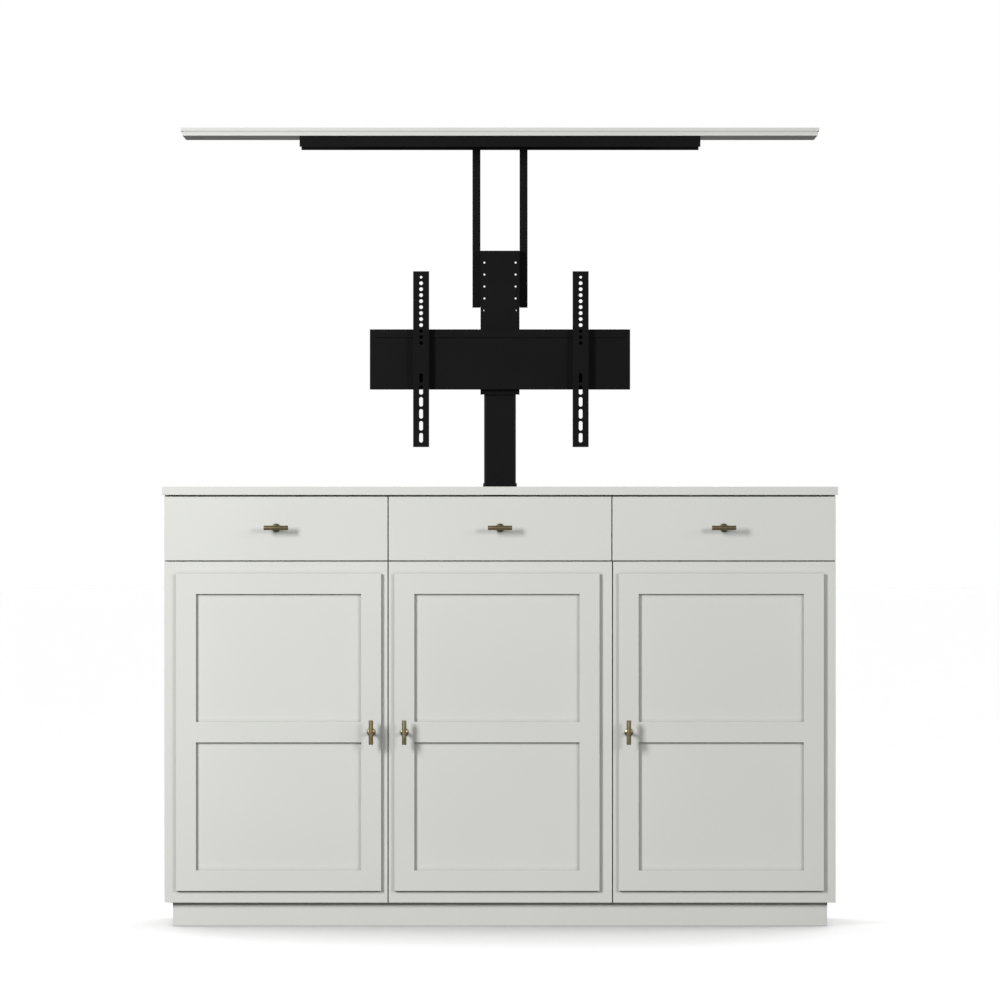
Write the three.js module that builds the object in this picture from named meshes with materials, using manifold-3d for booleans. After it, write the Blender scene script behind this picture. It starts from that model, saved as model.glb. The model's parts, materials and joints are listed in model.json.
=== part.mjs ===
// A cabinet with a television lift, shown raised. Millimetres, +Z up, front towards -Y.
// The origin is at the middle of the object's footprint, on the floor.
import * as THREE from "three";
import { mergeVertices } from "three/addons/utils/BufferGeometryUtils.js";
import Module from "manifold-3d";

const wasm = await Module();
wasm.setup();

// Driving sizes of the body.
const bayWidth = 552.5;
const bodyDepth = 500;
const plinthHeight = 59;
const plinthInset = 20;
const faceHeight = 842;
const drawerHeight = 157.6;
const underDrawerGap = 2.7;
const overDrawerGap = 4.2;
const topThickness = 20.5;
const topOverhang = 5.5;
const bayGap = 2.6;
const rightSeamShift = 1.6; // the right face frames' seam stands this far outside the drawers' one
const faceThickness = 20;
const boardThickness = 18;
const backThickness = 12;
const partitionThickness = 16;
const wellFront = 205; // from the face of the body to the well's front wall

// Driving sizes of the doors, which leave a border of the face frame in view on each side.
const hingeBorder = 30;
const latchBorder = 16;
const footBorder = 29.5;
const headBorder = 29.5;
const leftDoorShift = -1; // each door hangs a little off its border, as the photo shows
const middleDoorShift = -0.5;
const rightDoorShift = 0.5;
const doorThickness = 20;
const lipThickness = 9;
const lipWidth = 8;
const doorRest = 1; // between the lip and the face frame
const doorPlay = 2; // between the door's body and the face frame's opening
const stileWidth = 49.5;
const railWidth = 50.5;
const panelThickness = 6;
const panelRebate = 8;

// Driving sizes of the hinges.
const cupRadius = 13;
const cupDepth = 10;
const cupEdge = 3.5; // wood between the cup and the door's edge
const cupEarWidth = 46;
const cupEarHeight = 22;
const cupEarThickness = 1.2;
const hingeFromEnd = 100;
const hingeArmHeight = 14;
const hingePlateHeight = 40;
const hingePlateReach = 14;
const hingeSteel = 3;

// Driving sizes of the handles.
const barLength = 60;
const barRadius = 5.6;
const barRounding = 1.2;
const drawerBarRise = 1.8; // from the drawer front's middle to the bar
const barStand = 33.65; // from the face to the bar's middle line
const stemRadius = 4.2;
const rosetteRadius = 10.5;
const rosetteThickness = 4;
const rosetteRounding = 1.5;

// Driving sizes of the drawers.
const drawerBoxDepth = 155;
const drawerBoxHeight = 118;
const drawerSideGap = 22;
const drawerWall = 12;
const drawerFloor = 6;
const runnerWidth = 44;
const runnerHeight = 10;
const cleatWidth = 14;
const shelfSetBack = 45;
const shelfRiseShare = 0.5;

// Driving sizes of the lid and of the cut-out that it closes.
const lidEndMargin = 32.4; // from the body's side to the lid's end
const lidBackMargin = 25; // from the lid's back edge to the body's back
const lidUpper = 8.5;
const lidLower = 11.4;
const lidRebate = 4.2;
const lidPlay = 2;
const lidBehind = 2; // from the well's front wall to the lid's front edge

// Driving sizes of the lift. Depths are counted back from the lid's front edge.
const bracketWidth = 1000;
const bracketHeight = 27.1;
const bracketDepth = 200;
const bracketBehind = 13;
const sheet = 2.5;
const railSide = 20;
const railDepth = 15;
const railBehind = 193;
const railFootAboveHead = 142.4; // how far the rails reach down beside the head
const headWidth = 98;
const headHeight = 361.5;
const headBehind = 165;
const headFlange = 45;
const headSheet = 3;
const headTopBelowLid = 302;
const headHoleRadius = 2.4;
const headHolePitch = 30;
const headHoleEdge = 9.8;
const headHoleCount = 5;
const headShelfDrop = 130;
const headShelfThickness = 6;
const wingReach = 12; // the head's wings pass this far behind the rails
const wingLap = 3; // from the rails' foot up to the wings' foot
const boxWidth = 653.2;
const boxHeight = 151;
const boxDepth = 30;
const boxDrop = 198.2; // from the head's top to the box's top
const boxLipHeight = 21;
const boxLipInset = 12;
const armHeight = 440.8;
const armWidth = 40;
const armDepth = 20;
const armDrop = 53; // from the head's top to the arms' top
const armSpread = 400;
const armShift = 2.2; // both arms stand this far to the right of the lift's middle
const armHoleRadius = 4.6;
const armTopHoleRadius = 3.3;
const armHolePitch = 15;
const armHoleCount = 12;
const armFirstHole = 15;
const armSlotPitch = 30;
const armSlotLength = 23.6;
const armSlotCount = 6;
const armFirstSlot = 267.5;
const armHookHeight = 18;

// Driving sizes of the column and its drive.
const innerWidth = 80;
const innerDepth = 50;
const tubeWall = 2;
const tubePlay = 0.5;
const tubeCorner = 6;
const columnBehind = 201; // from the lid's front edge to the column's middle
const middleShow = 9.3; // how far the middle tube stands above the top board
const stageOverlap = 112.3; // how far the middle tube stays in the outer one, raised
const tubeFootGap = 4.2; // under the two sliding tubes, lowered
const nestDrop = 2.2; // from the middle tube's top to the outer one's, lowered
const basePlateWidth = 300;
const basePlateDepth = 130;
const basePlateThickness = 6;
const motorRadius = 29;
const motorLength = 130;
const motorOffset = 92;
const gearHouseWidth = 84;
const gearHouseDepth = 70;
const gearHouseHeight = 46;

// Clearances that every piece shares, and how finely curves are cut.
const seat = 0.3; // between pieces that rest on each other
const overrun = 5; // how far a cutter passes the face that it cuts
const roundSteps = 24;
const holeSteps = 16;
const cornerSteps = 4;

// Heights of the body, from the floor up.
const faceTop = plinthHeight + faceHeight;
const drawerFoot = faceTop + underDrawerGap;
const drawerTop = drawerFoot + drawerHeight;
const topUnder = drawerTop + overDrawerGap;
const topSurface = topUnder + topThickness;
const bottomTop = plinthHeight + boardThickness;

// Places across and along the body.
const bays = [
  { name: "left", hinge: -1, doorShift: leftDoorShift },
  { name: "middle", hinge: 1, doorShift: middleDoorShift },
  { name: "right", hinge: 1, doorShift: rightDoorShift },
];
const bodyWidth = bays.length * bayWidth;
const halfBody = bodyWidth / 2;
const doorProud = lipThickness + doorRest;
const frontReach = doorProud + seat + barStand + barRadius;
const faceY = (frontReach - bodyDepth) / 2; // the face of the drawers and face frames
const carcassY = faceY + faceThickness + seat;
const backY = faceY + bodyDepth;
const wellY = faceY + wellFront;
const partitionY = wellY - partitionThickness;
const wellBackY = backY - backThickness;
const lidY = wellY + lidBehind;
const lidWidth = bodyWidth - lidEndMargin * 2;
const lidDepth = backY - lidBackMargin - lidY;
const columnY = lidY + columnBehind;
const doorWidth = bayWidth - hingeBorder - latchBorder;
const doorHeight = faceHeight - footBorder - headBorder;

// The lift: each sliding tube covers half of the rise, and is as long as the body lets it be.
const plateFoot = bottomTop + seat;
const plateTop = plateFoot + basePlateThickness;
const middleTop = topSurface + middleShow;
const middleLength = (middleTop - plateTop - tubeFootGap + stageOverlap) / 2;
const halfRise = middleLength - stageOverlap;
const liftRise = halfRise * 2;

const paint = { color: 0xd9d9d1, roughness: 0.45, metalness: 0 };
const board = { color: 0xcdc6b4, roughness: 0.6, metalness: 0 };
const steel = { color: 0x1c1c1c, roughness: 0.5, metalness: 0.6 };
const brass = { color: 0x7a7050, roughness: 0.4, metalness: 0.8 };
const nickel = { color: 0xa8a8a6, roughness: 0.3, metalness: 0.9 };

const cabinet = new THREE.Group();

function add(name, geometry, finish) {
  const mesh = new THREE.Mesh(geometry, new THREE.MeshStandardMaterial(finish));
  mesh.name = name;
  cabinet.add(mesh);
  return mesh;
}

// A box between two corners, each given as [x, y, z].
function block(low, high) {
  const size = high.map((value, axis) => value - low[axis]);
  const geometry = new THREE.BoxGeometry(...size);
  geometry.translate(...high.map((value, axis) => (value + low[axis]) / 2));
  return geometry;
}

function toSolid(geometry) {
  const bare = geometry.clone();
  bare.deleteAttribute("normal");
  bare.deleteAttribute("uv");
  const merged = mergeVertices(bare);
  const mesh = new wasm.Mesh({
    numProp: 3,
    vertProperties: new Float32Array(merged.attributes.position.array),
    triVerts: new Uint32Array(merged.index.array),
  });
  return new wasm.Manifold(mesh);
}

function toGeometry(solid) {
  const mesh = solid.getMesh();
  const geometry = new THREE.BufferGeometry();
  geometry.setAttribute("position", new THREE.BufferAttribute(mesh.vertProperties, 3));
  geometry.setIndex(new THREE.BufferAttribute(mesh.triVerts, 1));
  geometry.computeVertexNormals();
  return geometry;
}

function joined(...geometries) {
  return geometries.map(toSolid).reduce((whole, next) => whole.add(next));
}

function cut(solid, ...cutters) {
  return cutters.map(toSolid).reduce((left, cutter) => left.subtract(cutter), solid);
}

// A round bar along +Y or another axis, its middle at the given point.
function roundBar(radius, length, centre, axis, steps) {
  const geometry = new THREE.CylinderGeometry(radius, radius, length, steps);
  if (axis === "x") geometry.rotateZ(Math.PI / 2);
  if (axis === "z") geometry.rotateX(Math.PI / 2);
  geometry.translate(...centre);
  return geometry;
}

// A rectangle with rounded corners, its middle at the origin.
function roundedRectangle(width, height, radius) {
  const shape = new THREE.Shape();
  const x = width / 2 - radius;
  const y = height / 2 - radius;
  shape.absarc(x, y, radius, 0, Math.PI / 2);
  shape.absarc(-x, y, radius, Math.PI / 2, Math.PI);
  shape.absarc(-x, -y, radius, Math.PI, Math.PI * 1.5);
  shape.absarc(x, -y, radius, Math.PI * 1.5, Math.PI * 2);
  return shape;
}

// Body: panels that carry the rest, with the plinth as a ring under them.
function makeBody() {
  const inner = halfBody - boardThickness;
  const plinthX = halfBody - plinthInset;
  const plinthFront = faceY + plinthInset;
  const plinthTop = plinthHeight - seat;
  const ring = cut(
    joined(block([-plinthX, plinthFront, 0], [plinthX, backY, plinthTop])),
    block(
      [boardThickness - plinthX, plinthFront + boardThickness, -overrun],
      [plinthX - boardThickness, backY - boardThickness, plinthHeight + overrun],
    ),
  );
  add("plinth", toGeometry(ring), paint);
  for (const [name, side] of [["left", -1], ["right", 1]]) {
    const xs = [side * inner, side * halfBody].sort((a, b) => a - b);
    add(`${name}_side_panel`,
      block([xs[0], carcassY, plinthHeight], [xs[1], backY, topUnder - seat]), paint);
  }
  const clear = inner - seat;
  add("bottom_panel",
    block([-clear, carcassY, plinthHeight], [clear, backY, bottomTop]), board);
  add("back_panel",
    block([-clear, wellBackY, bottomTop + seat], [clear, backY, topUnder - seat]), paint);
  add("partition_panel",
    block([-clear, partitionY, bottomTop + seat], [clear, wellY, topUnder - seat]), board);
  const deckUnder = faceTop - boardThickness;
  add("drawer_deck",
    block([-clear, carcassY, deckUnder], [clear, partitionY - seat, faceTop]), board);
  for (const [name, side] of [["left", -1], ["right", 1]]) {
    const middle = side * bayWidth / 2;
    add(`${name}_divider`,
      block(
        [middle - boardThickness / 2, carcassY, bottomTop + seat],
        [middle + boardThickness / 2, partitionY - seat, deckUnder - seat],
      ), board);
  }
}

// Fixed top: a board with a rebated cut-out that the lid closes flush.
function makeTop() {
  const halfTop = halfBody + topOverhang;
  const slab = block([-halfTop, faceY - topOverhang, topUnder], [halfTop, backY, topSurface]);
  const halfHole = lidWidth / 2 - lidRebate + lidPlay;
  const hole = block(
    [-halfHole, lidY + lidRebate - lidPlay, topUnder - overrun],
    [halfHole, lidY + lidDepth - lidRebate + lidPlay, topSurface + overrun],
  );
  const halfSink = lidWidth / 2 + lidPlay;
  const sink = block(
    [-halfSink, lidY - lidPlay, topSurface - lidUpper - seat],
    [halfSink, lidY + lidDepth + lidPlay, topSurface + overrun],
  );
  add("top_board", toGeometry(cut(toSolid(slab), hole, sink)), paint);
}

// A front's left and right edges in its bay, with half a gap where a neighbour stands beside it.
function faceSpan(index, rightSeam) {
  const last = bays.length - 1;
  const seam = (place) => -halfBody + place * bayWidth + (place === last ? rightSeam : 0);
  const left = seam(index) + (index > 0 ? bayGap / 2 : 0);
  const right = seam(index + 1) - (index < last ? bayGap / 2 : 0);
  return [left, right];
}

// The door's own place: its left and right edges and its foot.
function doorPlace(index, hinge) {
  const left = -halfBody + index * bayWidth + bays[index].doorShift;
  const low = hinge < 0 ? left + hingeBorder : left + bayWidth - hingeBorder - doorWidth;
  return { low, high: low + doorWidth, foot: plinthHeight + footBorder };
}

function makeFaceFrame(name, index, hinge) {
  const [left, right] = faceSpan(index, rightSeamShift);
  const door = doorPlace(index, hinge);
  const shrink = lipWidth - doorPlay;
  const plate = block([left, faceY, plinthHeight], [right, faceY + faceThickness, faceTop]);
  const opening = block(
    [door.low + shrink, faceY - overrun, door.foot + shrink],
    [door.high - shrink, faceY + faceThickness + overrun, door.foot + doorHeight - shrink],
  );
  add(`${name}_face_frame`, toGeometry(cut(toSolid(plate), opening)), paint);
}

// T-bar handle: a round bar on a stem, with a rosette against the wood.
function makeHandle(name, x, y, z, upright) {
  const bar = new THREE.LatheGeometry([
    new THREE.Vector2(0, -barLength / 2),
    new THREE.Vector2(barRadius - barRounding, -barLength / 2),
    new THREE.Vector2(barRadius, barRounding - barLength / 2),
    new THREE.Vector2(barRadius, barLength / 2 - barRounding),
    new THREE.Vector2(barRadius - barRounding, barLength / 2),
    new THREE.Vector2(0, barLength / 2),
  ], roundSteps);
  if (upright) bar.rotateX(Math.PI / 2);
  else bar.rotateZ(Math.PI / 2);
  bar.translate(0, -barStand, 0);
  const foot = new THREE.LatheGeometry([
    new THREE.Vector2(0, 0),
    new THREE.Vector2(rosetteRadius, 0),
    new THREE.Vector2(rosetteRadius, rosetteThickness - rosetteRounding),
    new THREE.Vector2(rosetteRadius - rosetteRounding, rosetteThickness),
    new THREE.Vector2(stemRadius, rosetteThickness),
    new THREE.Vector2(stemRadius, barStand),
    new THREE.Vector2(0, barStand),
  ], roundSteps);
  foot.rotateX(Math.PI);
  const handle = toGeometry(joined(bar, foot));
  handle.translate(x, y - seat, z);
  add(name, handle, brass);
}

// Door: a lipped frame with a middle rail, and one panel in a rebate behind both openings.
function makeDoor(name, index, hinge) {
  const { low, high, foot } = doorPlace(index, hinge);
  const top = foot + doorHeight;
  const front = faceY - doorProud;
  const back = front + doorThickness;
  const lipBack = front + lipThickness;
  const lip = block([low, front, foot], [high, lipBack, top]);
  const core = block([low + lipWidth, front, foot + lipWidth], [high - lipWidth, back, top - lipWidth]);
  const paneHeight = (doorHeight - railWidth * 3) / 2;
  const panes = [0, 1].map((row) => {
    const rise = foot + railWidth + row * (paneHeight + railWidth);
    return block([low + stileWidth, front - overrun, rise],
      [high - stileWidth, back + overrun, rise + paneHeight]);
  });
  const pocketEdge = stileWidth - panelRebate;
  const pocketRail = railWidth - panelRebate;
  const pocket = block([low + pocketEdge, lipBack, foot + pocketRail],
    [high - pocketEdge, back + overrun, top - pocketRail]);
  const hingeEdge = hinge < 0 ? low : high;
  const cupX = hingeEdge - hinge * (lipWidth + cupEdge + cupRadius);
  const cupZs = [foot + hingeFromEnd, top - hingeFromEnd];
  const cupBores = cupZs.map((z) => {
    const depth = cupDepth + seat + overrun;
    return roundBar(cupRadius + seat, depth, [cupX, back + overrun - depth / 2, z], "y", roundSteps);
  });
  add(`${name}_door_frame`,
    toGeometry(cut(joined(lip, core), ...panes, pocket, ...cupBores)), paint);
  add(`${name}_door_panel`, block(
    [low + pocketEdge + seat, lipBack + seat, foot + pocketRail + seat],
    [high - pocketEdge - seat, lipBack + seat + panelThickness, top - pocketRail - seat],
  ), paint);
  const handleX = (hinge < 0 ? high : low) + hinge * stileWidth / 2;
  makeHandle(`${name}_door_handle`, handleX, front, foot + doorHeight / 2, true);
  const places = [["lower", cupZs[0]], ["upper", cupZs[1]]];
  for (const [level, z] of places) {
    makeHinge(`${name}_door_${level}`, hinge, hingeEdge, cupX, back, z);
  }
}

// Concealed hinge: a cup with ears let into the door, and a cranked arm on the face frame's back.
function makeHinge(name, hinge, edge, cupX, doorBack, z) {
  const earBack = doorBack + seat + cupEarThickness;
  const cup = roundBar(cupRadius, cupDepth + earBack - doorBack,
    [cupX, (doorBack - cupDepth + earBack) / 2, z], "y", roundSteps);
  const ears = block(
    [cupX - cupEarHeight / 2, doorBack + seat, z - cupEarWidth / 2],
    [cupX + cupEarHeight / 2, earBack, z + cupEarWidth / 2],
  );
  add(`${name}_hinge_cup`, toGeometry(joined(cup, ears)), nickel);
  const inward = (distance) => edge - hinge * distance;
  const plateFoot = faceY + faceThickness + seat;
  const plateBack = plateFoot + hingeSteel;
  const opening = lipWidth - doorPlay;
  const tipNear = earBack + seat;
  const tipMiddle = lipWidth + cupEdge + cupRadius;
  const outline = new THREE.Shape([
    new THREE.Vector2(inward(opening - hingePlateReach), plateFoot),
    new THREE.Vector2(inward(opening), plateFoot),
    new THREE.Vector2(inward(tipMiddle - cupRadius / 2), tipNear),
    new THREE.Vector2(inward(tipMiddle + cupRadius / 2), tipNear),
    new THREE.Vector2(inward(tipMiddle + cupRadius / 2), tipNear + hingeSteel),
    new THREE.Vector2(inward(opening + hingeSteel), plateBack),
    new THREE.Vector2(inward(opening - hingePlateReach), plateBack),
  ]);
  const arm = new THREE.ExtrudeGeometry(outline, { depth: hingeArmHeight, bevelEnabled: false });
  arm.translate(0, 0, z - hingeArmHeight / 2);
  const ends = [inward(opening - hingePlateReach), inward(opening)].sort((a, b) => a - b);
  const plate = block([ends[0], plateFoot, z - hingePlateHeight / 2],
    [ends[1], plateBack, z + hingePlateHeight / 2]);
  add(`${name}_hinge_arm`, toGeometry(joined(arm, plate)), nickel);
}

// Drawer: a front board, an open box behind it with two cleats, and a centre runner on the deck.
function makeDrawer(name, index) {
  const [left, right] = faceSpan(index, 0);
  const middle = -halfBody + (index + 0.5) * bayWidth;
  const frontBack = faceY + faceThickness;
  add(`${name}_drawer_front`,
    block([left, faceY, drawerFoot], [right, frontBack, drawerTop]), paint);
  const barZ = (drawerFoot + drawerTop) / 2 + drawerBarRise;
  makeHandle(`${name}_drawer_handle`, middle, faceY, barZ, false);
  const half = bayWidth / 2 - drawerSideGap;
  const boxFront = frontBack + seat;
  const boxBack = boxFront + drawerBoxDepth;
  const runnerTop = faceTop + seat + runnerHeight;
  const boxFoot = runnerTop + seat;
  const shell = block([middle - half, boxFront, boxFoot],
    [middle + half, boxBack, boxFoot + drawerBoxHeight]);
  const room = block([middle - half + drawerWall, boxFront + drawerWall, boxFoot + drawerFloor],
    [middle + half - drawerWall, boxBack - drawerWall, boxFoot + drawerBoxHeight + overrun]);
  const cleats = [-1, 1].map((side) => {
    const near = middle + side * (runnerWidth / 2 + seat);
    const far = near + side * cleatWidth;
    return block([Math.min(near, far), boxFront, faceTop + runnerHeight / 2],
      [Math.max(near, far), boxBack, boxFoot + drawerFloor / 2]);
  });
  add(`${name}_drawer_box`, toGeometry(cut(joined(shell, ...cleats), room)), board);
  add(`${name}_drawer_runner`,
    block([middle - runnerWidth / 2, carcassY, faceTop + seat],
      [middle + runnerWidth / 2, partitionY - seat, runnerTop]), nickel);
}

function makeShelf(name, index) {
  const inset = boardThickness + seat;
  const left = -halfBody + index * bayWidth + (index > 0 ? inset - boardThickness / 2 : inset);
  const last = index === bays.length - 1;
  const right = -halfBody + (index + 1) * bayWidth - (last ? inset : inset - boardThickness / 2);
  const room = faceTop - boardThickness - bottomTop;
  const middle = bottomTop + room * shelfRiseShare;
  add(`${name}_shelf`,
    block([left, carcassY + shelfSetBack, middle - boardThickness / 2],
      [right, partitionY - seat, middle + boardThickness / 2]), board);
}

// Lid: an upper layer that lies on the cut-out's ledge, and a lower one that fits inside it.
const lidTop = topSurface + liftRise;
const lidUnder = lidTop - lidUpper - lidLower;

function makeLid() {
  const halfLid = lidWidth / 2;
  const upper = block([-halfLid, lidY, lidTop - lidUpper], [halfLid, lidY + lidDepth, lidTop]);
  const lower = block(
    [lidRebate - halfLid, lidY + lidRebate, lidUnder],
    [halfLid - lidRebate, lidY + lidDepth - lidRebate, lidTop - lidUpper / 2],
  );
  add("lid", toGeometry(joined(upper, lower)), paint);
}

// Lid bracket: a folded channel, open below, screwed to the lid's underside.
const bracketTop = lidUnder - seat;

function makeLidBracket() {
  const half = bracketWidth / 2;
  const front = lidY + bracketBehind;
  const back = front + bracketDepth;
  const channel = cut(
    joined(block([-half, front, bracketTop - bracketHeight], [half, back, bracketTop])),
    block(
      [-half - overrun, front + sheet, bracketTop - bracketHeight - overrun],
      [half + overrun, back - sheet, bracketTop - sheet],
    ),
  );
  add("lid_bracket", toGeometry(channel), steel);
}

// Head: a folded channel that straddles the column, with a shelf that sits on the inner tube
// and a wing behind each of the two rails that are bolted to it.
const headTop = lidTop - headTopBelowLid;
const headY = lidY + headBehind;

function makeHead() {
  const half = headWidth / 2;
  const channel = block([-half, headY, headTop - headHeight], [half, headY + headFlange, headTop]);
  const hollow = block(
    [headSheet - half, headY + headSheet, headTop - headHeight - overrun],
    [half - headSheet, headY + headFlange + overrun, headTop + overrun],
  );
  const holes = [];
  for (let row = 1; row <= headHoleCount; row += 1) {
    for (const side of [-1, 1]) {
      const centre = [side * (half - headHoleEdge), headY, headTop - row * headHolePitch];
      holes.push(roundBar(headHoleRadius, headSheet * 4, centre, "y", holeSteps));
    }
  }
  const shelfTop = headTop - headShelfDrop;
  const shelf = block(
    [headSheet / 2 - half, headY + headSheet / 2, shelfTop - headShelfThickness],
    [half - headSheet / 2, columnY + innerDepth / 2, shelfTop],
  );
  const wingFront = lidY + railBehind + railDepth + seat;
  const wingFoot = headTop - railFootAboveHead + wingLap;
  const wings = [-1, 1].map((side) => {
    const near = side * (half - headSheet / 2);
    const far = side * (half + wingReach);
    return block([Math.min(near, far), wingFront, wingFoot],
      [Math.max(near, far), wingFront + headSheet, headTop]);
  });
  const face = cut(toSolid(channel), hollow, ...holes);
  add("lift_head", toGeometry(face.add(joined(shelf, ...wings))), steel);
  for (const [name, side] of [["left", -1], ["right", 1]]) {
    const near = side * (half + seat);
    const far = near + side * railSide;
    add(`${name}_lid_rail`,
      block([Math.min(near, far), lidY + railBehind, headTop - railFootAboveHead],
        [Math.max(near, far), lidY + railBehind + railDepth, bracketTop - sheet - seat]), steel);
  }
  return shelfTop - headShelfThickness - seat;
}

// Mount box: folded sheet, open behind, with a lip folded down over its face along the top.
function makeMountBox() {
  const half = boxWidth / 2;
  const back = headY - seat;
  const front = back - boxDepth;
  const top = headTop - boxDrop;
  const foot = top - boxHeight;
  const shell = block([-half, front + sheet, foot], [half, back, top]);
  const room = block([sheet - half, front + sheet * 2, foot + sheet],
    [half - sheet, back + overrun, top - sheet]);
  const lip = block([boxLipInset - half, front, top - boxLipHeight],
    [half - boxLipInset, front + sheet * 1.5, top]);
  add("mount_box", toGeometry(cut(toSolid(shell), room).add(toSolid(lip))), steel);
  return { front, back, top, foot };
}

// Screen arm: a folded channel with holes and slots, hooked over the mount box.
function makeArm(name, side, box) {
  const middle = side * armSpread / 2 + armShift;
  const half = armWidth / 2;
  const top = headTop - armDrop;
  const back = box.front - seat;
  const front = back - armDepth;
  const channel = block([middle - half, front, top - armHeight], [middle + half, back, top]);
  const hollow = block(
    [middle - half + sheet, front + sheet, top - armHeight + sheet],
    [middle + half - sheet, back + overrun, top - sheet],
  );
  const cutters = [];
  for (let n = 0; n < armHoleCount; n += 1) {
    const z = top - armFirstHole - n * armHolePitch;
    const radius = n > 0 ? armHoleRadius : armTopHoleRadius;
    cutters.push(roundBar(radius, sheet * 4, [middle, front, z], "y", holeSteps));
  }
  const slotOutline = roundedRectangle(armHoleRadius * 2, armSlotLength, armHoleRadius);
  for (let n = 0; n < armSlotCount; n += 1) {
    const slot = new THREE.ExtrudeGeometry(slotOutline,
      { depth: sheet * 4, bevelEnabled: false, curveSegments: cornerSteps });
    slot.rotateX(Math.PI / 2);
    slot.translate(middle, front + sheet * 2, top - armFirstSlot - n * armSlotPitch);
    cutters.push(slot);
  }
  const hookTop = box.top + seat + sheet;
  const overBox = block([middle - half, back - armDepth / 2, box.top + seat],
    [middle + half, box.back + seat + sheet, hookTop]);
  const behindBox = block([middle - half, box.back + seat, hookTop - armHookHeight],
    [middle + half, box.back + seat + sheet, hookTop]);
  const arm = cut(toSolid(channel), hollow, ...cutters);
  add(name, toGeometry(arm.add(toSolid(overBox)).add(toSolid(behindBox))), steel);
}

// Column: three tubes with rounded corners, each sliding in the next. The outer one is welded
// to the plate that screws down to the bottom panel, and the drive stands beside it.
function tube(width, depth, foot, top) {
  const outline = roundedRectangle(width, depth, tubeCorner);
  const bore = roundedRectangle(width - tubeWall * 2, depth - tubeWall * 2, tubeCorner - tubeWall);
  outline.holes.push(bore);
  const geometry = new THREE.ExtrudeGeometry(outline,
    { depth: top - foot, bevelEnabled: false, curveSegments: cornerSteps });
  geometry.translate(0, columnY, foot);
  return geometry;
}

function makeColumn(innerTop) {
  const step = (tubeWall + tubePlay) * 2;
  const innerFoot = plateTop + tubeFootGap + liftRise;
  add("inner_tube", tube(innerWidth, innerDepth, innerFoot, innerTop), steel);
  add("middle_tube",
    tube(innerWidth + step, innerDepth + step, middleTop - middleLength, middleTop), steel);
  const outer = tube(innerWidth + step * 2, innerDepth + step * 2,
    plateFoot + basePlateThickness / 2, middleTop - halfRise - nestDrop);
  const plate = block([-basePlateWidth / 2, columnY - basePlateDepth / 2, plateFoot],
    [basePlateWidth / 2, columnY + basePlateDepth / 2, plateTop]);
  add("outer_tube", toGeometry(joined(plate, outer)), steel);
  const gearFoot = plateTop + seat;
  const gearTop = gearFoot + gearHouseHeight;
  const gearEdge = innerWidth / 2 + step + seat;
  const house = block([gearEdge, columnY - gearHouseDepth / 2, gearFoot],
    [gearEdge + gearHouseWidth, columnY + gearHouseDepth / 2, gearTop]);
  const motorFoot = gearFoot + gearHouseHeight / 2;
  const can = roundBar(motorRadius, gearTop + motorLength - motorFoot,
    [motorOffset, columnY, (gearTop + motorLength + motorFoot) / 2], "z", roundSteps);
  add("drive_motor", toGeometry(joined(house, can)), steel);
}

makeBody();
makeTop();
bays.forEach(({ name, hinge }, index) => {
  makeFaceFrame(name, index, hinge);
  makeDoor(name, index, hinge);
  makeDrawer(name, index);
});
makeShelf(bays[0].name, 0);
makeShelf(bays[2].name, 2);
makeLid();
makeLidBracket();
const innerTop = makeHead();
const box = makeMountBox();
makeArm("left_screen_arm", -1, box);
makeArm("right_screen_arm", 1, box);
makeColumn(innerTop);

export default cabinet;
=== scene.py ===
import json
import math

import bmesh
import bpy
from mathutils import Matrix, Vector

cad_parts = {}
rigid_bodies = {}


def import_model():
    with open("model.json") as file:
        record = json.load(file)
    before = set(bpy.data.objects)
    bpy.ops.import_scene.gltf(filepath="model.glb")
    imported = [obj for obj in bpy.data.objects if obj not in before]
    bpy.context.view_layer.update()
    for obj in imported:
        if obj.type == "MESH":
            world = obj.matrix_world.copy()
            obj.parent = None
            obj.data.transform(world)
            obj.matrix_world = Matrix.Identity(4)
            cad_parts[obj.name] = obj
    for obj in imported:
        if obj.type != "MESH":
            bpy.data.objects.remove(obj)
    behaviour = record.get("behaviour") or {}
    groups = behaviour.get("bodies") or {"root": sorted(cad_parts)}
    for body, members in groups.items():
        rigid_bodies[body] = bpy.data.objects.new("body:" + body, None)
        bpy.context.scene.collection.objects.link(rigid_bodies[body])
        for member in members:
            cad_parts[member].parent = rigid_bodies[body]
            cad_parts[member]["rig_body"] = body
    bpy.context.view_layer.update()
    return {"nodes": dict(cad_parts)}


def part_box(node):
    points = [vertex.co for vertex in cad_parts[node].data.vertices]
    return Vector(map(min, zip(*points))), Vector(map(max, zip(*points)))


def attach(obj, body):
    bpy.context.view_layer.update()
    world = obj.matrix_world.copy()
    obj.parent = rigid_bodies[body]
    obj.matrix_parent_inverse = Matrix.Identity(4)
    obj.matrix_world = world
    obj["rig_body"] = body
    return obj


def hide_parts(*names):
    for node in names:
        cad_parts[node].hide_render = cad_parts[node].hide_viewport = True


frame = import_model()

# Plinth and outer panels
# The body stands on a ring of boards set back under it. Sides, plinth and back are MDF boards,
# sanded, primed and sprayed with satin paint, so their edges are a little soft.
board_edge = 0.0005
foot_cut = 0.0012
# The Mix node's colour sockets share their names with others, so they go by their numbers.
first_colour, second_colour, mixed_colour = 6, 7, 2


def linear(code):
    """A colour written as an sRGB hex value, as linear RGBA."""
    channels = [int(code[place:place + 2], 16) / 255 for place in (1, 3, 5)]
    curved = [c / 12.92 if c <= 0.04045 else ((c + 0.055) / 1.055) ** 2.4 for c in channels]
    return (*curved, 1.0)


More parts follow.
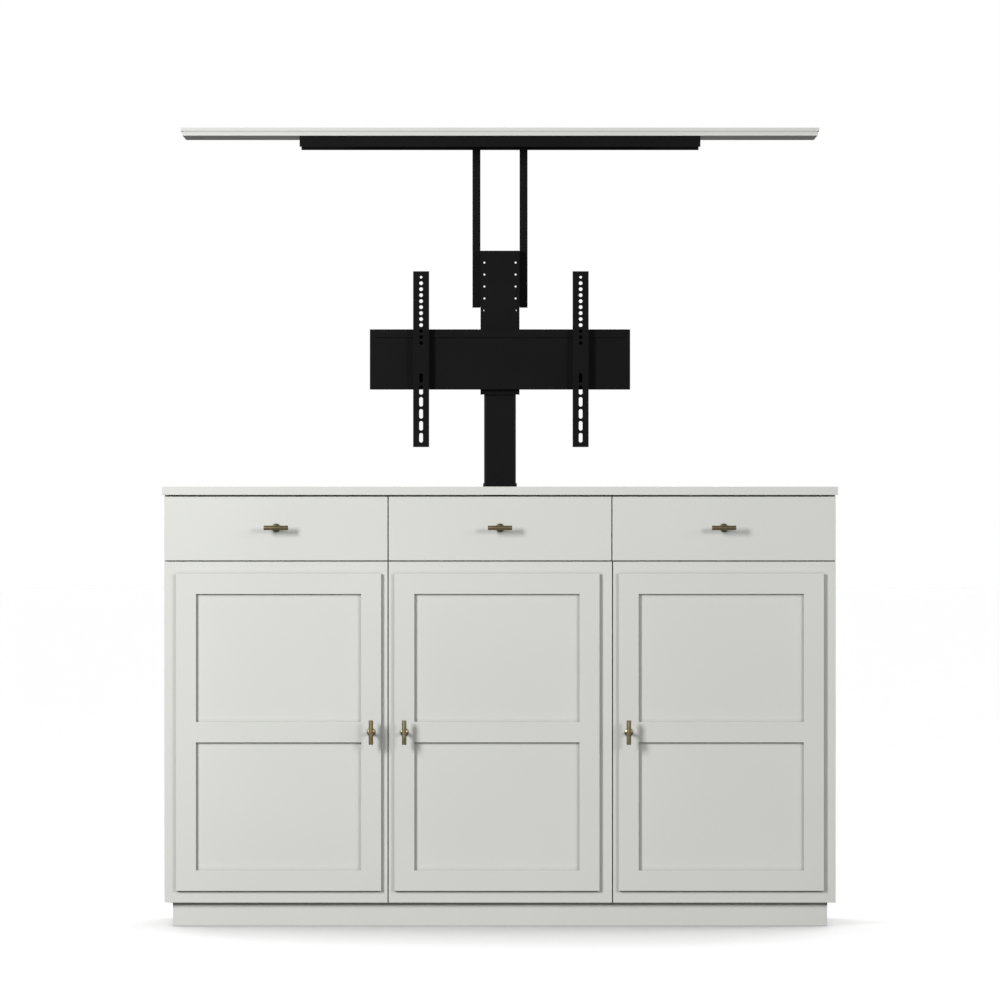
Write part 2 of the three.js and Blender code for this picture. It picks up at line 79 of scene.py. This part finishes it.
def add_node(tree, kind, settings=None, values=None, links=None, stops=()):
    """Adds a node with its settings, its sockets' values and the links that end in it.

    A colour ramp also takes its stops, each a position and a hex colour.
    """
    node = tree.nodes.new(kind)
    for name, value in (settings or {}).items():
        setattr(node, name, value)
    for socket, value in (values or {}).items():
        node.inputs[socket].default_value = value
    for socket, source in (links or {}).items():
        tree.links.new(source, node.inputs[socket])
    for index, (position, code) in enumerate(stops):
        node.color_ramp.elements[index].color = linear(code)
        node.color_ramp.elements[index].position = position
    return node


def blank_finish(name):
    """A material with an empty tree, and that tree."""
    material = bpy.data.materials.new(name)
    material.use_nodes = True
    material.node_tree.nodes.clear()
    return material, material.node_tree


def sprayed_paint():
    """Satin paint sprayed on MDF: an even off-white with a soft sheen and a faint orange peel.

    Its colour is darkened in the inner corners by ambient occlusion: painted shade, standing in for the
    shade that falls there.
    """
    peel_width = 0.0016
    pass_width = 0.45  # the slow change of tone that the passes of the spray gun leave
    material, tree = blank_finish("satin sprayed paint on MDF")
    place = add_node(tree, "ShaderNodeTexCoord").outputs["Object"]
    drift = add_node(tree, "ShaderNodeTexNoise", values={"Scale": 1 / pass_width, "Detail": 2},
                     links={"Vector": place})
    peel = add_node(tree, "ShaderNodeTexNoise", values={"Scale": 1 / peel_width, "Detail": 1.5},
                    links={"Vector": place})
    skin = add_node(tree, "ShaderNodeBump", values={"Strength": 0.05, "Distance": 0.0002},
                    links={"Height": peel.outputs["Fac"]})
    sheen = add_node(tree, "ShaderNodeMapRange", values={"To Min": 0.40, "To Max": 0.48},
                     links={"Value": drift.outputs["Fac"]})
    tone = add_node(tree, "ShaderNodeValToRGB", links={"Fac": drift.outputs["Fac"]},
                    stops=((0.3, "#dcddd8"), (0.7, "#dfe0db")))
    # Painted shade: the occlusion node darkens the colour in inner corners and recesses, and the coat
    # mix multiplies that shade into the paint's tone.
    corners = add_node(tree, "ShaderNodeAmbientOcclusion", {"samples": 8}, {"Distance": 0.011})
    coat = add_node(tree, "ShaderNodeMix", {"data_type": "RGBA", "blend_type": "MULTIPLY"},
                    {"Factor": 0.45}, {first_colour: tone.outputs["Color"],
                                       second_colour: corners.outputs["Color"]})
    shader = add_node(tree, "ShaderNodeBsdfPrincipled", values={"IOR": 1.5},
                      links={"Base Color": coat.outputs[mixed_colour],
                             "Roughness": sheen.outputs["Result"], "Normal": skin.outputs["Normal"]})
    add_node(tree, "ShaderNodeOutputMaterial", links={"Surface": shader.outputs["BSDF"]})
    return material


def keep(name, mesh, body, slot, *nodes):
    """Links a finished mesh as a piece that rides on a body and stands for its CAD nodes."""
    piece = bpy.data.objects.new(name, mesh)
    bpy.context.scene.collection.objects.link(piece)
    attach(piece, body)
    if nodes:
        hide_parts(*nodes)


def weld(mesh):
    """Welds a mesh's loose triangles and clears the lines across its flat faces."""
    weld_distance = 5e-6
    flat_within = math.radians(0.5)
    shape = bmesh.new()
    shape.from_mesh(mesh)
    bmesh.ops.remove_doubles(shape, verts=shape.verts, dist=weld_distance)
    bmesh.ops.dissolve_limit(shape, angle_limit=flat_within, verts=shape.verts, edges=shape.edges)
    shape.to_mesh(mesh)
    shape.free()


def cut_back(mesh, size):
    """Cuts a board's lowest edges back at 45 degrees, as a foot's are so that they do not chip."""
    level_within = 1e-5
    shape = bmesh.new()
    shape.from_mesh(mesh)
    foot = min(vert.co.z for vert in shape.verts)
    lowest = [edge for edge in shape.edges
              if max(vert.co.z for vert in edge.verts) < foot + level_within]
    bmesh.ops.bevel(shape, geom=lowest, offset=size, segments=1, affect="EDGES")
    shape.to_mesh(mesh)
    shape.free()


def plain_mesh(blank):
    """The mesh that an object's modifiers make of it, after which the object is removed."""
    graph = bpy.context.evaluated_depsgraph_get()
    mesh = bpy.data.meshes.new_from_object(blank.evaluated_get(graph))
    bpy.data.objects.remove(blank)
    return mesh


def eased(mesh, edge, steps):
    """The mesh with its sharp edges rounded by edge, and its flat faces shaded flat."""
    mesh.polygons.foreach_set("use_smooth", [True] * len(mesh.polygons))
    blank = bpy.data.objects.new("blank", mesh)
    bpy.context.scene.collection.objects.link(blank)
    rounding = blank.modifiers.new("rounding", "BEVEL")
    rounding.width = edge
    rounding.segments = steps
    rounding.limit_method = "ANGLE"
    rounding.angle_limit = math.radians(35)
    shading = blank.modifiers.new("shading", "WEIGHTED_NORMAL")
    shading.weight = 100
    return plain_mesh(blank)


def dress(node, finish, slot, edge, steps=3, foot=0):
    """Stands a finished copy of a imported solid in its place, with its edges eased."""
    solid = frame["nodes"][node]
    mesh = bpy.data.meshes.new(f"{node}_finished")
    mesh.from_pydata([vert.co for vert in solid.data.vertices], [],
                     [face.vertices for face in solid.data.polygons])
    weld(mesh)
    if foot:
        cut_back(mesh, foot)
    mesh = eased(mesh, edge, steps)
    mesh.materials.clear()
    mesh.materials.append(finish)
    keep(f"{node}_finished", mesh, solid["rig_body"], slot, node)


paint = sprayed_paint()
dress("plinth", paint, "paint", board_edge, foot=foot_cut)
for panel in ("left_side_panel", "right_side_panel", "back_panel"):
    dress(panel, paint, "paint", board_edge)

# Inner boards
# Bottom, partition, drawer deck, dividers and shelves are chipboard faced with pale melamine,
# which has a fine pressed linen grain and a low sheen. They are glued and dowelled together.
melamine_edge = 0.0006


def faced_board():
    """Melamine on chipboard: warm white and nearly matt, with a linen grain pressed into it.

    Each thread of the grain is 0.7 mm wide and shows for about 4 mm before it dips under.
    """
    thread_width = 0.0007
    thread_length = 0.0042
    fine, long = 1 / thread_width, 1 / thread_length
    material, tree = blank_finish("melamine faced board")
    place = add_node(tree, "ShaderNodeTexCoord").outputs["Object"]
    level = add_node(tree, "ShaderNodeMapping", values={"Scale": (long, long, fine)},
                     links={"Vector": place})
    upright = add_node(tree, "ShaderNodeMapping", values={"Scale": (fine, fine, long)},
                       links={"Vector": place})
    weft = add_node(tree, "ShaderNodeTexNoise", values={"Scale": 1, "Detail": 2},
                    links={"Vector": level.outputs["Vector"]})
    warp = add_node(tree, "ShaderNodeTexNoise", values={"Scale": 1, "Detail": 2},
                    links={"Vector": upright.outputs["Vector"]})
    both = add_node(tree, "ShaderNodeMath", {"operation": "ADD"},
                    links={0: weft.outputs["Fac"], 1: warp.outputs["Fac"]})
    grain = add_node(tree, "ShaderNodeBump", values={"Strength": 0.15, "Distance": 0.0001},
                     links={"Height": both.outputs["Value"]})
    tone = add_node(tree, "ShaderNodeValToRGB", links={"Fac": both.outputs["Value"]},
                    stops=((0.7, "#cfc9b9"), (1.0, "#d6d1c3")))
    shader = add_node(tree, "ShaderNodeBsdfPrincipled", values={"Roughness": 0.5, "IOR": 1.5},
                      links={"Base Color": tone.outputs["Color"], "Normal": grain.outputs["Normal"]})
    add_node(tree, "ShaderNodeOutputMaterial", links={"Surface": shader.outputs["BSDF"]})
    return material


melamine = faced_board()
for board in ("bottom_panel", "partition_panel", "drawer_deck", "left_divider", "right_divider",
              "left_shelf", "right_shelf"):
    dress(board, melamine, "inside_board", melamine_edge, steps=2)

# Fixed top and face frames
# The top is one painted board with a rebated cut-out that the lid closes flush. Under it, each
# bay has a painted face frame, and the lines between the bays are open joints.
top_edge = 0.0008
bays = ("left", "middle", "right")
dress("top_board", paint, "paint", top_edge)
for bay in bays:
    dress(f"{bay}_face_frame", paint, "paint", board_edge)

# Doors
# Each door is a lipped frame with a middle rail, sprayed with the body, and a flat panel set
# back in it. The lip stands proud of the face frame and closes over its opening.
door_edge = 0.0006
for bay in bays:
    dress(f"{bay}_door_frame", paint, "paint", door_edge)
    dress(f"{bay}_door_panel", paint, "paint", board_edge)

# Door hinges
# Concealed hinges: a pressed cup let into the door and a cranked arm on the frame's back, both
# nickel plated steel. Two screws hold each cup by its ears, and two hold each arm's plate.
pressed_edge = 0.0003
ear_screw_radius, ear_screw_height = 0.0032, 0.0006
ear_screw_spread = 0.0185  # from the cup's middle up and down to its screws
plate_screw_radius, plate_screw_height = 0.0034, 0.0010
plate_screw_spread = 0.0145  # from the arm's middle up and down to its plate's screws
plate_screw_inset = 0.007  # from the arm's outer end
plate_thickness = 0.003
head_sides = 24
crown_rise, crown_share = 0.6, 0.78  # of the head's height and radius
recess_depth, recess_share = 0.84, 0.5  # of the head's height and the crown's radius


def nickel_plate():
    """Nickel on pressed steel: a pale warm grey metal with faint handling marks of about 6 mm."""
    mark_width = 0.00625
    material, tree = blank_finish("nickel plated steel")
    place = add_node(tree, "ShaderNodeTexCoord").outputs["Object"]
    marks = add_node(tree, "ShaderNodeTexNoise", values={"Scale": 1 / mark_width, "Detail": 4},
                     links={"Vector": place})
    gloss = add_node(tree, "ShaderNodeMapRange", values={"To Min": 0.22, "To Max": 0.36},
                     links={"Value": marks.outputs["Fac"]})
    tone = add_node(tree, "ShaderNodeValToRGB", links={"Fac": marks.outputs["Fac"]},
                    stops=((0.3, "#b4b1aa"), (0.7, "#c6c4bf")))
    shader = add_node(tree, "ShaderNodeBsdfPrincipled", values={"Metallic": 1.0},
                      links={"Base Color": tone.outputs["Color"], "Roughness": gloss.outputs["Result"]})
    add_node(tree, "ShaderNodeOutputMaterial", links={"Surface": shader.outputs["BSDF"]})
    return material


def screw_tree():
    """A node tree that sets a screw head on each point, turned to the point's facing.

    A head is a low cylinder, half sunk, with a drawn-in crown and a round recess for the driver.
    """
    tree = bpy.data.node_groups.new("screw heads", "GeometryNodeTree")
    for name, kind in (("Geometry", "NodeSocketGeometry"), ("Sides", "NodeSocketInt"),
                       ("Head Radius", "NodeSocketFloat"), ("Head Height", "NodeSocketFloat"),
                       ("Crown Height", "NodeSocketFloat"), ("Crown Share", "NodeSocketFloat"),
                       ("Recess Depth", "NodeSocketFloat"), ("Recess Share", "NodeSocketFloat"),
                       ("Finish", "NodeSocketMaterial")):
        tree.interface.new_socket(name, in_out="INPUT", socket_type=kind)
    tree.interface.new_socket("Geometry", in_out="OUTPUT", socket_type="NodeSocketGeometry")
    given = add_node(tree, "NodeGroupInput").outputs
    head = add_node(tree, "GeometryNodeMeshCylinder", links={
        "Vertices": given["Sides"], "Radius": given["Head Radius"], "Depth": given["Head Height"]})
    raised = add_node(tree, "GeometryNodeExtrudeMesh", links={
        "Mesh": head.outputs["Mesh"], "Selection": head.outputs["Top"],
        "Offset Scale": given["Crown Height"]})
    crown = add_node(tree, "GeometryNodeScaleElements", links={
        "Geometry": raised.outputs["Mesh"], "Selection": raised.outputs["Top"],
        "Scale": given["Crown Share"]})
    inset = add_node(tree, "GeometryNodeExtrudeMesh", values={"Offset Scale": 0.0}, links={
        "Mesh": crown.outputs["Geometry"], "Selection": raised.outputs["Top"]})
    rim = add_node(tree, "GeometryNodeScaleElements", links={
        "Geometry": inset.outputs["Mesh"], "Selection": inset.outputs["Top"],
        "Scale": given["Recess Share"]})
    down = add_node(tree, "ShaderNodeMath", {"operation": "MULTIPLY"}, {1: -1.0},
                    {0: given["Recess Depth"]})
    recess = add_node(tree, "GeometryNodeExtrudeMesh", links={
        "Mesh": rim.outputs["Geometry"], "Selection": inset.outputs["Top"],
        "Offset Scale": down.outputs["Value"]})
    facing = add_node(tree, "GeometryNodeInputNamedAttribute", {"data_type": "FLOAT_VECTOR"},
                      {"Name": "facing"})
    turned = add_node(tree, "FunctionNodeAlignRotationToVector", {"axis": "Z"},
                      links={"Vector": facing.outputs["Attribute"]})
    placed = add_node(tree, "GeometryNodeInstanceOnPoints", links={
        "Points": given["Geometry"], "Instance": recess.outputs["Mesh"],
        "Rotation": turned.outputs["Rotation"]})
    real = add_node(tree, "GeometryNodeRealizeInstances",
                    links={"Geometry": placed.outputs["Instances"]})
    coated = add_node(tree, "GeometryNodeSetMaterial", links={
        "Geometry": real.outputs["Geometry"], "Material": given["Finish"]})
    add_node(tree, "NodeGroupOutput", links={"Geometry": coated.outputs["Geometry"]})
    return tree


def grown(name, seeds, tree, inputs):
    """The mesh that a node tree grows from a seed mesh, with its named inputs set."""
    blank = bpy.data.objects.new(name, seeds)
    bpy.context.scene.collection.objects.link(blank)
    growth = blank.modifiers.new("growth", "NODES")
    growth.node_group = tree
    sockets = {item.name: item.identifier for item in tree.interface.items_tree
               if item.in_out == "INPUT"}
    for label, value in inputs.items():
        growth[sockets[label]] = value
    mesh = plain_mesh(blank)
    mesh.name = name
    return mesh


def screws(name, body, slot, places, finish, radius, height):
    """Screw heads for one body: places are pairs of a point and the way that the head faces."""
    seeds = bpy.data.meshes.new(name)
    seeds.from_pydata([point for point, _ in places], [], [])
    facing = seeds.attributes.new("facing", "FLOAT_VECTOR", "POINT")
    facing.data.foreach_set("vector", [value for _, way in places for value in way])
    mesh = grown(name, seeds, screw_heads, {
        "Sides": head_sides, "Head Radius": radius, "Head Height": height,
        "Crown Height": height * crown_rise, "Crown Share": crown_share,
        "Recess Depth": height * recess_depth, "Recess Share": recess_share, "Finish": finish})
    keep(name, mesh, body, slot)


nickel = nickel_plate()
screw_heads = screw_tree()
rearwards = (0, 1, 0)
plate_screws = []
for bay in bays:
    ear_screws = []
    for level in ("lower", "upper"):
        cup = f"{bay}_door_{level}_hinge_cup"
        arm = f"{bay}_door_{level}_hinge_arm"
        dress(cup, nickel, "nickel", pressed_edge, steps=2)
        dress(arm, nickel, "nickel", pressed_edge, steps=2)
        cup_low, cup_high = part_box(cup)
        cup_middle = (cup_low + cup_high) / 2
        arm_low, arm_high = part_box(arm)
        arm_middle = (arm_low + arm_high) / 2
        if arm_middle.x < cup_middle.x:
            plate_x = arm_low.x + plate_screw_inset
        else:
            plate_x = arm_high.x - plate_screw_inset
        plate_y = arm_low.y + plate_thickness
        for side in (-1, 1):
            ear_z = cup_middle.z + side * ear_screw_spread
            plate_z = arm_middle.z + side * plate_screw_spread
            ear_screws.append(((cup_middle.x, cup_high.y, ear_z), rearwards))
            plate_screws.append(((plate_x, plate_y, plate_z), rearwards))
    screws(f"{bay}_hinge_ear_screws", f"{bay}_door", "nickel", ear_screws, nickel,
           ear_screw_radius, ear_screw_height)
screws("hinge_plate_screws", "cabinet", "nickel", plate_screws, nickel,
       plate_screw_radius, plate_screw_height)

# Drawers
# A painted front screwed to an open box of the inner board, which slides on a plated centre
# runner that is fixed to the deck.
box_edge = 0.0008
runner_edge = 0.0008
for bay in bays:
    dress(f"{bay}_drawer_front", paint, "paint", board_edge)
    dress(f"{bay}_drawer_box", melamine, "inside_board", box_edge, steps=2)
    dress(f"{bay}_drawer_runner", nickel, "nickel", runner_edge, steps=2)

# Handles
# T-bars of antique brass: a turned bar with eased ends on a short stem, and a round coned rose
# against the wood. All are turned and darkened. The bars are brushed, and the stems and roses
# are smooth and waxed.
bar_length, bar_radius, bar_rounding = 0.060, 0.0056, 0.0004
rose_radius, rose_rim = 0.0105, 0.0016
neck_radius, collar_radius = 0.0042, 0.0049
# Pairs of a distance and a radius: from the wood out over the rose's rim and cone to the neck,
# and then, counted back from the bar's middle line, over the collar that holds the bar.
rose_profile = [(0, 0), (0, rose_radius), (rose_rim, rose_radius), (0.0022, 0.0104),
                (0.0025, 0.0100), (0.0038, 0.0065), (0.0042, 0.0056), (0.0050, 0.0047),
                (0.0068, neck_radius)]
collar_profile = [(-0.0075, neck_radius), (-0.0052, 0.0048), (-0.0040, collar_radius),
                  (0, collar_radius), (0, 0)]
turn_length = 0.03  # round a piece, as its turning map counts it at every radius


def antique_brass(name, smoothest, roughest, wax):
    """Darkened brass: olive brown metal with marks round its turning, paler where it is rubbed.

    Its dark oxide dulls it, so it is a little less metallic than bare brass. The marks of the
    turning are finer on the real one, and drawn 0.2 mm wide here so that they show.
    """
    mark_width = 0.0002
    mark_length = 0.0167
    cloud_width = 0.011
    material, tree = blank_finish(name)
    turned = add_node(tree, "ShaderNodeUVMap", {"uv_map": "turning"}).outputs["UV"]
    stretched = add_node(tree, "ShaderNodeMapping",
                         values={"Scale": (1 / mark_width, 1 / mark_length, 1)},
                         links={"Vector": turned})
    brush = add_node(tree, "ShaderNodeTexNoise", values={"Scale": 1, "Detail": 3},
                     links={"Vector": stretched.outputs["Vector"]})
    place = add_node(tree, "ShaderNodeTexCoord").outputs["Object"]
    cloud = add_node(tree, "ShaderNodeTexNoise", values={"Scale": 1 / cloud_width, "Detail": 4},
                     links={"Vector": place})
    gloss = add_node(tree, "ShaderNodeMapRange", values={"To Min": smoothest, "To Max": roughest},
                     links={"Value": brush.outputs["Fac"]})
    grooves = add_node(tree, "ShaderNodeBump", values={"Strength": 0.12, "Distance": 0.00005},
                       links={"Height": brush.outputs["Fac"]})
    tone = add_node(tree, "ShaderNodeValToRGB", links={"Fac": cloud.outputs["Fac"]},
                    stops=((0.3, "#71674a"), (0.7, "#8d8262")))
    shader = add_node(tree, "ShaderNodeBsdfPrincipled",
                      values={"Metallic": 0.8, "Coat Weight": wax, "Coat Roughness": 0.1},
                      links={"Base Color": tone.outputs["Color"],
                             "Roughness": gloss.outputs["Result"], "Normal": grooves.outputs["Normal"]})
    add_node(tree, "ShaderNodeOutputMaterial", links={"Surface": shader.outputs["BSDF"]})
    return material


def turned_mesh(name, profile, way, start, finish, sides=48):
    """A closed lathe form: profile pairs of (distance along way, radius), from axis to axis."""
    along = Vector(way).normalized()
    across = along.orthogonal().normalized()
    shape = bmesh.new()
    layer = shape.loops.layers.uv.new("turning")
    rings = []
    for distance, radius in profile:
        centre = Vector(start) + along * distance
        if radius == 0:
            rings.append([shape.verts.new(centre)])
        else:
            turns = [Matrix.Rotation(math.tau * step / sides, 3, along) for step in range(sides)]
            rings.append([shape.verts.new(centre + turn @ across * radius) for turn in turns])
    for (near, far), (ring, after) in zip(zip(profile, profile[1:]), zip(rings, rings[1:])):
        for step in range(sides):
            spots = [(step, step / sides), ((step + 1) % sides, (step + 1) / sides)]
            corners = []
            for chain, (distance, radius), order in ((ring, near, spots), (after, far, spots[::-1])):
                if radius == 0:
                    corners.append((chain[0], (distance, order[0][1] * turn_length)))
                else:
                    corners += [(chain[index], (distance + radius, share * turn_length))
                                for index, share in order]
            face = shape.faces.new([vert for vert, _ in corners])
            face.smooth = True
            for loop, (_, spot) in zip(face.loops, corners):
                loop[layer].uv = spot
    bmesh.ops.recalc_face_normals(shape, faces=shape.faces)
    mesh = bpy.data.meshes.new(name)
    shape.to_mesh(mesh)
    shape.free()
    mesh.set_sharp_from_angle(angle=math.radians(40))
    mesh.materials.append(finish)
    return mesh


def rounded_end(at, radius, rounding, turn, steps=4):
    """Profile points round the rim of a turned end, where turn is 1 on the way in, -1 out."""
    angles = [math.pi / 2 * step / steps for step in range(steps + 1)]
    rim = [(at + turn * rounding * (1 - math.cos(angle)), radius - rounding * (1 - math.sin(angle)))
           for angle in angles]
    return [(at, 0)] + rim if turn > 0 else rim[::-1] + [(at, 0)]


brushed_brass = antique_brass("antique brass turned and brushed", 0.42, 0.58, 0)
smooth_brass = antique_brass("antique brass turned smooth and waxed", 0.28, 0.40, 1)
bar_profile = (rounded_end(0, bar_radius, bar_rounding, 1)
               + rounded_end(bar_length, bar_radius, bar_rounding, -1))
for bay in bays:
    for part, way in (("drawer", (1, 0, 0)), ("door", (0, 0, 1))):
        handle = f"{bay}_{part}_handle"
        body = f"{bay}_{part}"
        low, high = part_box(handle)
        middle = (low + high) / 2
        bar_middle = Vector((middle.x, low.y + bar_radius, middle.z))
        bar_start = bar_middle - Vector(way) * bar_length / 2
        keep(f"{handle}_bar", turned_mesh("bar", bar_profile, way, bar_start, brushed_brass),
             body, "brass", handle)
        foot = (middle.x, high.y, middle.z)
        reach = high.y - bar_middle.y
        stem_profile = rose_profile + [(reach + back, radius) for back, radius in collar_profile]
        keep(f"{handle}_stem", turned_mesh("stem", stem_profile, (0, -1, 0), foot, smooth_brass),
             body, "brass")

# Lid
# The lid is a painted board in two layers: the upper one lies on the cut-out's ledge and the
# lower one fits inside it. The lift carries it up on a folded bracket.
dress("lid", paint, "paint", board_edge)

# Lid bracket, rails and head of the lift
# Folded and welded steel, sprayed with satin black powder and baked. The bracket is screwed up
# into the lid, and the two rails hold it over the head that sits on the column.
sheet_edge = 0.00025
web_thickness = 0.0025
bracket_screw_radius, bracket_screw_height = 0.0040, 0.0014
bracket_screw_pitch = 0.15  # along the bracket, with none at its middle
bracket_screw_spread = 0.07  # from the bracket's middle line to each row


def powder_coat():
    """Black powder coat on steel: a fine baked texture of 0.8 mm, a soft sheen and little glare."""
    grit_width = 0.0008
    cloud_width = 0.167
    material, tree = blank_finish("satin black powder coated steel")
    place = add_node(tree, "ShaderNodeTexCoord").outputs["Object"]
    grit = add_node(tree, "ShaderNodeTexNoise", values={"Scale": 1 / grit_width, "Detail": 2},
                    links={"Vector": place})
    cloud = add_node(tree, "ShaderNodeTexNoise", values={"Scale": 1 / cloud_width, "Detail": 2},
                     links={"Vector": place})
    skin = add_node(tree, "ShaderNodeBump", values={"Strength": 0.14, "Distance": 0.0002},
                    links={"Height": grit.outputs["Fac"]})
    sheen = add_node(tree, "ShaderNodeMapRange", values={"To Min": 0.46, "To Max": 0.56},
                     links={"Value": cloud.outputs["Fac"]})
    tone = add_node(tree, "ShaderNodeValToRGB", links={"Fac": cloud.outputs["Fac"]},
                    stops=((0.3, "#090909"), (0.7, "#0c0c0c")))
    shader = add_node(tree, "ShaderNodeBsdfPrincipled",
                      values={"IOR": 1.5, "Specular IOR Level": 0.13},
                      links={"Base Color": tone.outputs["Color"],
                             "Roughness": sheen.outputs["Result"], "Normal": skin.outputs["Normal"]})
    add_node(tree, "ShaderNodeOutputMaterial", links={"Surface": shader.outputs["BSDF"]})
    return material


black = powder_coat()
for member in ("lid_bracket", "left_lid_rail", "right_lid_rail", "lift_head"):
    dress(member, black, "black_steel", sheet_edge, steps=2)
low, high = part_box("lid_bracket")
middle = (low + high) / 2
under_web = []
for step in (-3, -2, -1, 1, 2, 3):
    for side in (-1, 1):
        point = (step * bracket_screw_pitch, middle.y + side * bracket_screw_spread,
                 high.z - web_thickness)
        under_web.append((point, (0, 0, -1)))
screws("lid_bracket_screws", "lift", "black_steel", under_web, black,
       bracket_screw_radius, bracket_screw_height)

# Mount box and screen arms
# The box is folded sheet, open behind, with a lip along its top. The arms hook over it, slide
# along it, and take the screen's bolts in their round holes and slots.
fold_radius = 0.0010
dress("mount_box", black, "black_steel", fold_radius)
dress("left_screen_arm", black, "black_steel", sheet_edge, steps=2)
dress("right_screen_arm", black, "black_steel", sheet_edge, steps=2)

# Column and drive
# Three drawn steel tubes with rounded corners, each sliding in the next, on a plate that is
# screwed to the bottom panel. The drive stands beside them.
for member in ("inner_tube", "middle_tube", "outer_tube", "drive_motor"):
    dress(member, black, "black_steel", sheet_edge, steps=2)

# Floor, lights and camera
# A plain pale floor under soft studio light: a softbox in front on the left, a weaker one and a
# fill on the right, lights behind for the back and the floor, one above for the tops, and a pale
# dome. The camera stands far back and level, just below the height of the top.
floor_reach = 80
floor_tone = linear("#f2f2f2")
floor_mesh = bpy.data.meshes.new("floor")
floor_mesh.from_pydata([(-floor_reach, -floor_reach, 0), (floor_reach, -floor_reach, 0),
                        (floor_reach, floor_reach, 0), (-floor_reach, floor_reach, 0)],
                       [], [(0, 1, 2, 3)])
floor = bpy.data.objects.new("floor", floor_mesh)
bpy.context.scene.collection.objects.link(floor)
matt, tree = blank_finish("matt white studio floor")
# Painted contact shadow: ambient occlusion darkens the floor's colour close to the pieces, where shade
# falls.
near = add_node(tree, "ShaderNodeAmbientOcclusion", {"samples": 8},
                {"Color": floor_tone, "Distance": 0.022})
tone = add_node(tree, "ShaderNodeMix", {"data_type": "RGBA"},
                {"Factor": 0.3, first_colour: floor_tone}, {second_colour: near.outputs["Color"]})
flat = add_node(tree, "ShaderNodeBsdfDiffuse", links={"Color": tone.outputs[mixed_colour]})
add_node(tree, "ShaderNodeOutputMaterial", links={"Surface": flat.outputs["BSDF"]})
floor_mesh.materials.append(matt)
floor.visible_diffuse = False
floor.visible_glossy = False
floor.visible_shadow = False


def light(name, kind, strength, at, towards, **sizes):
    """A light at a point, aimed at another, that no view shows directly."""
    data = bpy.data.lights.new(name, kind)
    data.energy = strength
    for label, value in sizes.items():
        setattr(data, label, value)
    lamp = bpy.data.objects.new(name, data)
    bpy.context.scene.collection.objects.link(lamp)
    lamp.location = at
    lamp.rotation_mode = "QUATERNION"
    lamp.rotation_quaternion = (Vector(towards) - Vector(at)).to_track_quat("-Z", "Y")
    lamp.visible_camera = False
    return lamp


def sun(name, strength, at, spread):
    """A distant light, spread this many degrees, that shines from a point towards the origin."""
    return light(name, "SUN", strength, at, (0, 0, 0), angle=math.radians(spread))


def linked_sun(name, pieces, state, strength, at, spread):
    """A distant light that falls on some pieces only, or on all but some."""
    lamp = sun(name, strength, at, spread)
    lit = bpy.data.collections.new(f"{name} pieces")
    for piece in pieces:
        lit.objects.link(piece)
    for entry in lit.collection_objects:
        entry.light_linking.link_state = state
    lamp.light_linking.receiver_collection = lit


front_middle = (0, -0.2, 0.8)  # of the doors and drawers, which both softboxes face
light("softbox", "AREA", 229, (-3.4, -4.4, 2.3), front_middle, shape="RECTANGLE", size=1.2,
      size_y=1.9)
light("side softbox", "AREA", 112, (3.9, -5.4, 2.2), front_middle, shape="DISK", size=1.5)
sun("side fill", 0.233, (12, -7, 3), 15)
for name, strength, at, spread in (("floor light rear left", 1.76, (-8, 8, 6), 70),
                                   ("floor light rear right", 2.03, (8, 8, 6), 70),
                                   ("floor light rear", 2.47, (0, 10, 5), 50),
                                   ("floor light right", 0.66, (10, 3, 2.5), 30)):
    linked_sun(name, [floor], "INCLUDE", strength, at, spread)
for name, strength, at, spread in (("rear light", 1.6, (0, 10, 1.5), 8),
                                   ("rear left light", 0.5, (-10, 4, 1.5), 8),
                                   ("rear right light", 1.2, (10, 4, 1.5), 8)):
    linked_sun(name, [floor], "EXCLUDE", strength, at, spread)
tops = [bpy.data.objects[f"{piece}_finished"] for piece in ("top_board", "lid")]
linked_sun("overhead light", tops, "INCLUDE", 0.62, (0, 0, 10), 20)

# The dome lights the object with a pale glow, and a view shows it as a plain white backdrop.
dome_glow, backdrop = 0.132, 1.0
world = bpy.data.worlds.new("studio dome")
bpy.context.scene.world = world
world.use_nodes = True
tree = world.node_tree
tree.nodes.clear()
shown = add_node(tree, "ShaderNodeLightPath")
glow = add_node(tree, "ShaderNodeMapRange", values={"To Min": dome_glow, "To Max": backdrop},
                links={"Value": shown.outputs["Is Camera Ray"]})
sky = add_node(tree, "ShaderNodeBackground", values={"Color": (1, 1, 1, 1)},
               links={"Strength": glow.outputs["Result"]})
add_node(tree, "ShaderNodeOutputWorld", links={"Surface": sky.outputs["Background"]})

camera_distance, camera_height = 21.03, 1.053
camera_data = bpy.data.cameras.new("camera")
camera_data.sensor_width = 36
camera_data.lens = 303.4
camera_data.clip_end = 300
camera = bpy.data.objects.new("camera", camera_data)
bpy.context.scene.collection.objects.link(camera)
camera.location = (0, -camera_distance, camera_height)
camera.rotation_euler = (math.radians(90), 0, 0)
bpy.context.scene.camera = camera
bpy.context.scene.view_settings.view_transform = "Standard"
